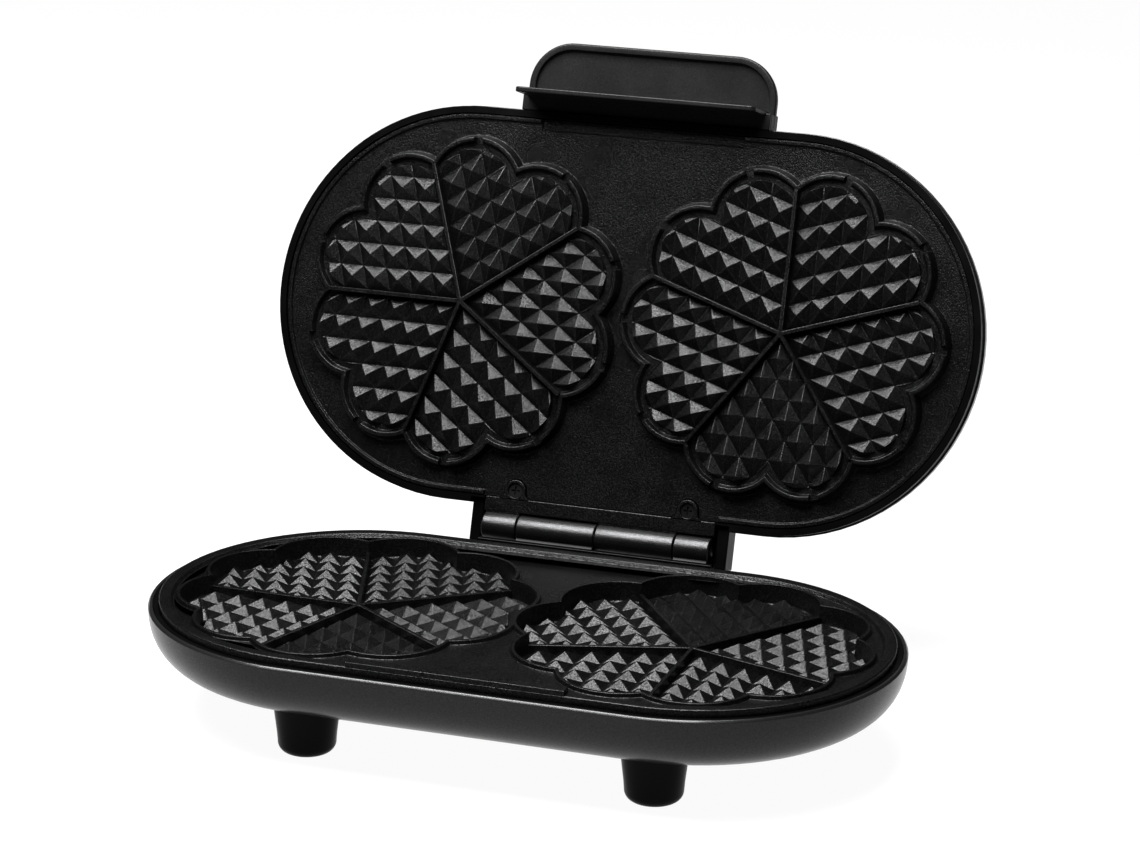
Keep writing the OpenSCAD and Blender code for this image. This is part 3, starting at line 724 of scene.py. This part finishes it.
def build_gland():
    piece = Piece()
    piece.turned(rounded([(3.6, 84.2, 0), (6.3, 84.2, 0.4), (6.3, 86.4, 0), (5.9, 86.4, 0),
                          (5.9, 100.4, 0), (8, 100.4, 0.4), (8, 103.4, 1), (3.6, 103.4, 0)]),
                 GLAND_AT, axis="y", ring=True)
    put(piece, "gland_body", "base", ["cord_gland"], "foot_rubber")


# ---- hinge ----

# The barrel's radius, its bore, the gap at each joint and the four knuckles' ends
BARREL_R = 6.7
PIN_HOLE_R = 3.05
KNUCKLE_GAP = 0.2
KNUCKLES = ((-59.3, -41), (-41, 0), (0, 41), (41, 59.3))


def knuckle(piece, span):
    """One length of the hinge barrel with rounded ends."""
    a, b = span[0] + KNUCKLE_GAP, span[1] - KNUCKLE_GAP
    rings = rounded([(PIN_HOLE_R, a, 0), (BARREL_R, a, 0.7), (BARREL_R, b, 0.7),
                     (PIN_HOLE_R, b, 0)])
    centre = (0, HINGE.y / MM, HINGE.z / MM)
    piece.turned(rings, centre, axis="x", steps=64, ring=True)


def build_hinge():
    """Four knuckles, the base's web up to the barrel, the lid's strip and its two bosses."""
    y, z = HINGE.y / MM, HINGE.z / MM
    for name, body, spans, nodes in (
            ("base_knuckles", "base", (1, 3), ["base_hinge_bracket"]),
            ("lid_knuckles", "lid", (0, 2), ["lid_hinge_bracket"])):
        piece = Piece()
        for k in spans:
            knuckle(piece, KNUCKLES[k])
        put(piece, name, body, nodes, "hinge_metal")
    web = Piece()
    wy = BASE_R + 0.1
    web.prism([(-SEAT_HALF, SEAT_Z), (SEAT_HALF, SEAT_Z), (SEAT_HALF, 56.6), (-59.5, 56.6),
               (-SEAT_HALF, 54.1)], "y", wy, wy + 3)
    for k in (1, 3):
        a, b = KNUCKLES[k]
        web.prism([(wy, 47.6), (wy + 3, 47.6), (y + 1, z - 5), (y, z), (y - 5.5, z - 2.2),
                   (wy, 54)], "x", a + KNUCKLE_GAP, b - KNUCKLE_GAP)
    put(web, "hinge_web", "base", ["base_hinge_bracket"], "black_plastic", edge=0.5)
    strip = Piece()
    strip.block((-STRIP_HALF, PLATE_R + 0.4, 59), (STRIP_HALF, PLATE_R + 7.5, 62))
    for k in (0, 2):
        a, b = KNUCKLES[k]
        strip.block((a + KNUCKLE_GAP, 100, 59.1), (b - KNUCKLE_GAP, 107.5, 61.9))
    put(strip, "hinge_strip", "lid", ["lid_hinge_bracket"], "nonstick", edge=0.5)
    bosses = Piece()
    for x in BOSS_X:
        tab = boss_outline(x, 5.4, 3.4, 95.6, 96.4)
        hole = arc(x, BOSS_Y, 3.7, 0, 360, 48)[:-1]
        faces = [bosses.loop([(*p, h) for p in tab]) for h in (59, 64.8)]
        wells = [bosses.loop([(*p, h) for p in hole]) for h in (59, 62.2)]
        bosses.band(*faces)
        bosses.band(*wells)
        bosses.fill(faces[0], wells[0])
        bosses.fill(faces[1])
        bosses.fill(wells[1])
        back = boss_outline(x, 7.4, 3, 95.6, 96.4)
        bosses.prism(back, "z", 63, 65)
    put(bosses, "hinge_bosses", "lid", ["lid_hinge_bracket"], "nonstick", edge=0.4,
        edge_angle=40)


# ---- lid ----

# Shell, hinge hood, handle and lamps, with the lid closed
LID_R = 99.5
LID_TOP = 99
LID_EDGE_Z = 64.5
LID_T = 1.8
SHOULDER = 34
HOOD_HALF = 67
HOOD_INNER = 61
GRIP_HALF = 64.5
GRIP_CORNER = 22
GRIP_REACH = 35.5
GRIP_TOP = 75.5
GRIP_UNDER = 70
ROOT_HALF = 64.4
TONGUE_HALF = 62
TONGUE_Z = 38.5
LAMP_X = 9
LAMP_Y = -52


def build_lid_shell():
    piece = Piece()
    outer = arc(LID_R - SHOULDER, LID_TOP - SHOULDER, SHOULDER, 0, 90, 24)
    inner = arc(LID_R - SHOULDER, LID_TOP - SHOULDER, SHOULDER - LID_T, 0, 90, 24)
    edge = rounded([(LID_R - LID_T, LID_TOP - SHOULDER, 0), (LID_R - LID_T, LID_EDGE_Z, 0.4),
                    (LID_R, LID_EDGE_Z, 0.4), (*outer[0], 0)], 3)[1:-1]
    piece.loft([stadium(r, z) for r, z in inner[::-1] + edge + outer])
    obj = piece.object("lid_skin", in_lid=True)
    cutter = Piece()
    cutter.block((-HOOD_HALF - 0.3, LID_R - 8, 60), (HOOD_HALF + 0.3, LID_R + 12, 75))
    for x in (-LAMP_X, LAMP_X):
        cutter.turned([(3.2, 80), (3.2, 110)], (x, LAMP_Y, 0), steps=32)
    carve(obj, cutter.object("shell_cut", in_lid=True))
    smooth(obj)
    stand_in(obj, "lid", ["lid_shell"], "satin_grey")


def build_hood():
    piece = Piece()
    low, under, top = 61, 68.4, 74.4
    piece.prism([(-HOOD_HALF, low), (-HOOD_INNER, low), (-HOOD_INNER, under),
                 (HOOD_INNER, under), (HOOD_INNER, low), (HOOD_HALF, low),
                 (HOOD_HALF, top), (-HOOD_HALF, top)], "y", LID_R - 2.8, 118.6)
    put(piece, "hood_body", "lid", ["hinge_hood"], "black_plastic", edge=0.9)


def grip_outline(inset, z):
    """D-shaped outline of the grip, front corners rounded, seen from above."""
    half, r, tip = GRIP_HALF - inset, GRIP_CORNER - inset, LID_R + GRIP_REACH - inset
    root = 101 + max(0, inset)
    flat = [(-half, root), (half, root)]
    flat += arc(half - r, tip - r, r, 0, 90, 16)
    flat += arc(-half + r, tip - r, r, 90, 180, 16)
    return [(x, -y, z) for x, y in flat]


def build_handle():
    """The grip with its raised rim, the root block and the tongue that hangs in front."""
    grip = Piece()
    rim_z = GRIP_UNDER - 2
    section = rounded([(8, GRIP_UNDER, 0), (3.6, GRIP_UNDER, 0.4), (3.4, rim_z, 0.5),
                       (0, rim_z, 1), (0, GRIP_TOP, 4.5), (8, GRIP_TOP, 0)], 5)
    grip.loft([grip_outline(inset, z) for inset, z in section])
    put(grip, "grip", "lid", ["handle"], "grip_plastic")
    root = Piece()
    root.block((-ROOT_HALF, -LID_R - 8.2, 62), (ROOT_HALF, -LID_R - 0.2, GRIP_TOP))
    root.block((-ROOT_HALF, -LID_R - 8, 60.6), (ROOT_HALF, -LID_R + 0.5, LID_EDGE_Z - 0.3))
    r, top = 3, 73
    tongue = [(-TONGUE_HALF, top)] + arc(-TONGUE_HALF + r, TONGUE_Z + r, r, 180, 270, 6)
    tongue += arc(TONGUE_HALF - r, TONGUE_Z + r, r, 270, 360, 6) + [(TONGUE_HALF, top)]
    root.prism(tongue, "y", -108.5, -106)
    put(root, "grip_root", "lid", ["handle"], "grip_plastic", edge=0.6)


def build_lamps():
    for node, x, slot in (("power_lamp", -LAMP_X, "red_lens"),
                          ("ready_lamp", LAMP_X, "green_lens")):
        piece = Piece()
        piece.turned([(3.1, LID_TOP - 6), (3.1, LID_TOP)] +
                     rounded([(4.3, LID_TOP, 0), (4.2, LID_TOP + 0.5, 0.3),
                              (2.4, LID_TOP + 1, 1), (0.4, LID_TOP + 1, 0)]), (x, LAMP_Y, 0))
        put(piece, node + "_lens", "lid", [node], slot)


def dress_frame():
    """Gives every CAD node that stays its finish, and softens the edges of the two rims and the
    terminal block.
    """
    for name, node in frame["nodes"].items():
        if node.hide_render or not node.data.materials:
            continue
        slot = node.data.materials[0].name.split(".")[0]
        node.data.materials.clear()
        node.data.materials.append(FINISH.get(slot, FINISH["black_plastic"]))
        if name in ("lid_rim", "base_rim", "terminal_block"):
            soften(node, 0.4, 2)


# ---- studio ----

def build_floor():
    mat = bpy.data.materials.new("pale_floor")
    mat.use_nodes = True
    shader = mat.node_tree.nodes["Principled BSDF"]
    shader.inputs["Base Color"].default_value = (0.08, 0.08, 0.08, 1)
    shader.inputs["Roughness"].default_value = 1
    shader.inputs["Specular IOR Level"].default_value = 0
    shader.inputs["Emission Color"].default_value = (1, 1, 1, 1)
    shader.inputs["Emission Strength"].default_value = 0.96
    mesh = bpy.data.meshes.new("floor")
    reach = 20
    mesh.from_pydata([(-reach, -reach, 0), (reach, -reach, 0), (reach, reach, 0),
                      (-reach, reach, 0)], [], [(0, 1, 2, 3)])
    floor = bpy.data.objects.new("floor", mesh)
    mesh.materials.append(mat)
    bpy.context.scene.collection.objects.link(floor)


def softbox(name, at, toward, width, height, power):
    """A rectangular area light, aimed at a point."""
    light = bpy.data.lights.new(name, "AREA")
    light.shape = "RECTANGLE"
    light.size, light.size_y = width, height
    light.energy = power
    obj = bpy.data.objects.new(name, light)
    obj.location = at
    aim = Vector(toward) - Vector(at)
    obj.rotation_mode = "QUATERNION"
    obj.rotation_quaternion = aim.to_track_quat("-Z", "Y")
    bpy.context.scene.collection.objects.link(obj)


def build_light():
    world = bpy.data.worlds.new("studio")
    world.use_nodes = True
    world.node_tree.nodes["Background"].inputs["Color"].default_value = (1, 1, 1, 1)
    world.node_tree.nodes["Background"].inputs["Strength"].default_value = 0.03
    bpy.context.scene.world = world
    softbox("overhead", at=(-0.2, -0.18, 1.05), toward=(-0.2, -0.17, 0), width=1.0,
            height=0.85, power=75)


def build_camera():
    azimuth, elevation, roll = (math.radians(a) for a in (18.52, 17.12, 0.78))
    target = Vector((0.00911, 0.03831, 0.13951))
    distance = 1.82624
    back = Vector((math.sin(azimuth) * math.cos(elevation),
                   -math.cos(azimuth) * math.cos(elevation), math.sin(elevation)))
    right = (-back).cross(Vector((0, 0, 1))).normalized()
    up = right.cross(-back)
    side = right * math.cos(roll) + up * math.sin(roll)
    over = up * math.cos(roll) - right * math.sin(roll)
    data = bpy.data.cameras.new("camera")
    data.lens = 121.92
    data.sensor_width = 36
    data.clip_end = 60
    camera = bpy.data.objects.new("camera", data)
    turn = Matrix((side, over, back)).transposed()
    camera.matrix_world = Matrix.Translation(target + back * distance) @ turn.to_4x4()
    bpy.context.scene.collection.objects.link(camera)
    bpy.context.scene.camera = camera


build_moulds()
build_housing()
build_feet()
build_gland()
build_hinge()
build_lid_shell()
build_hood()
build_handle()
build_lamps()
dress_frame()
build_floor()
build_light()
build_camera()
bpy.context.scene.view_settings.view_transform = "Standard"
bpy.context.scene.view_settings.gamma = 0.8
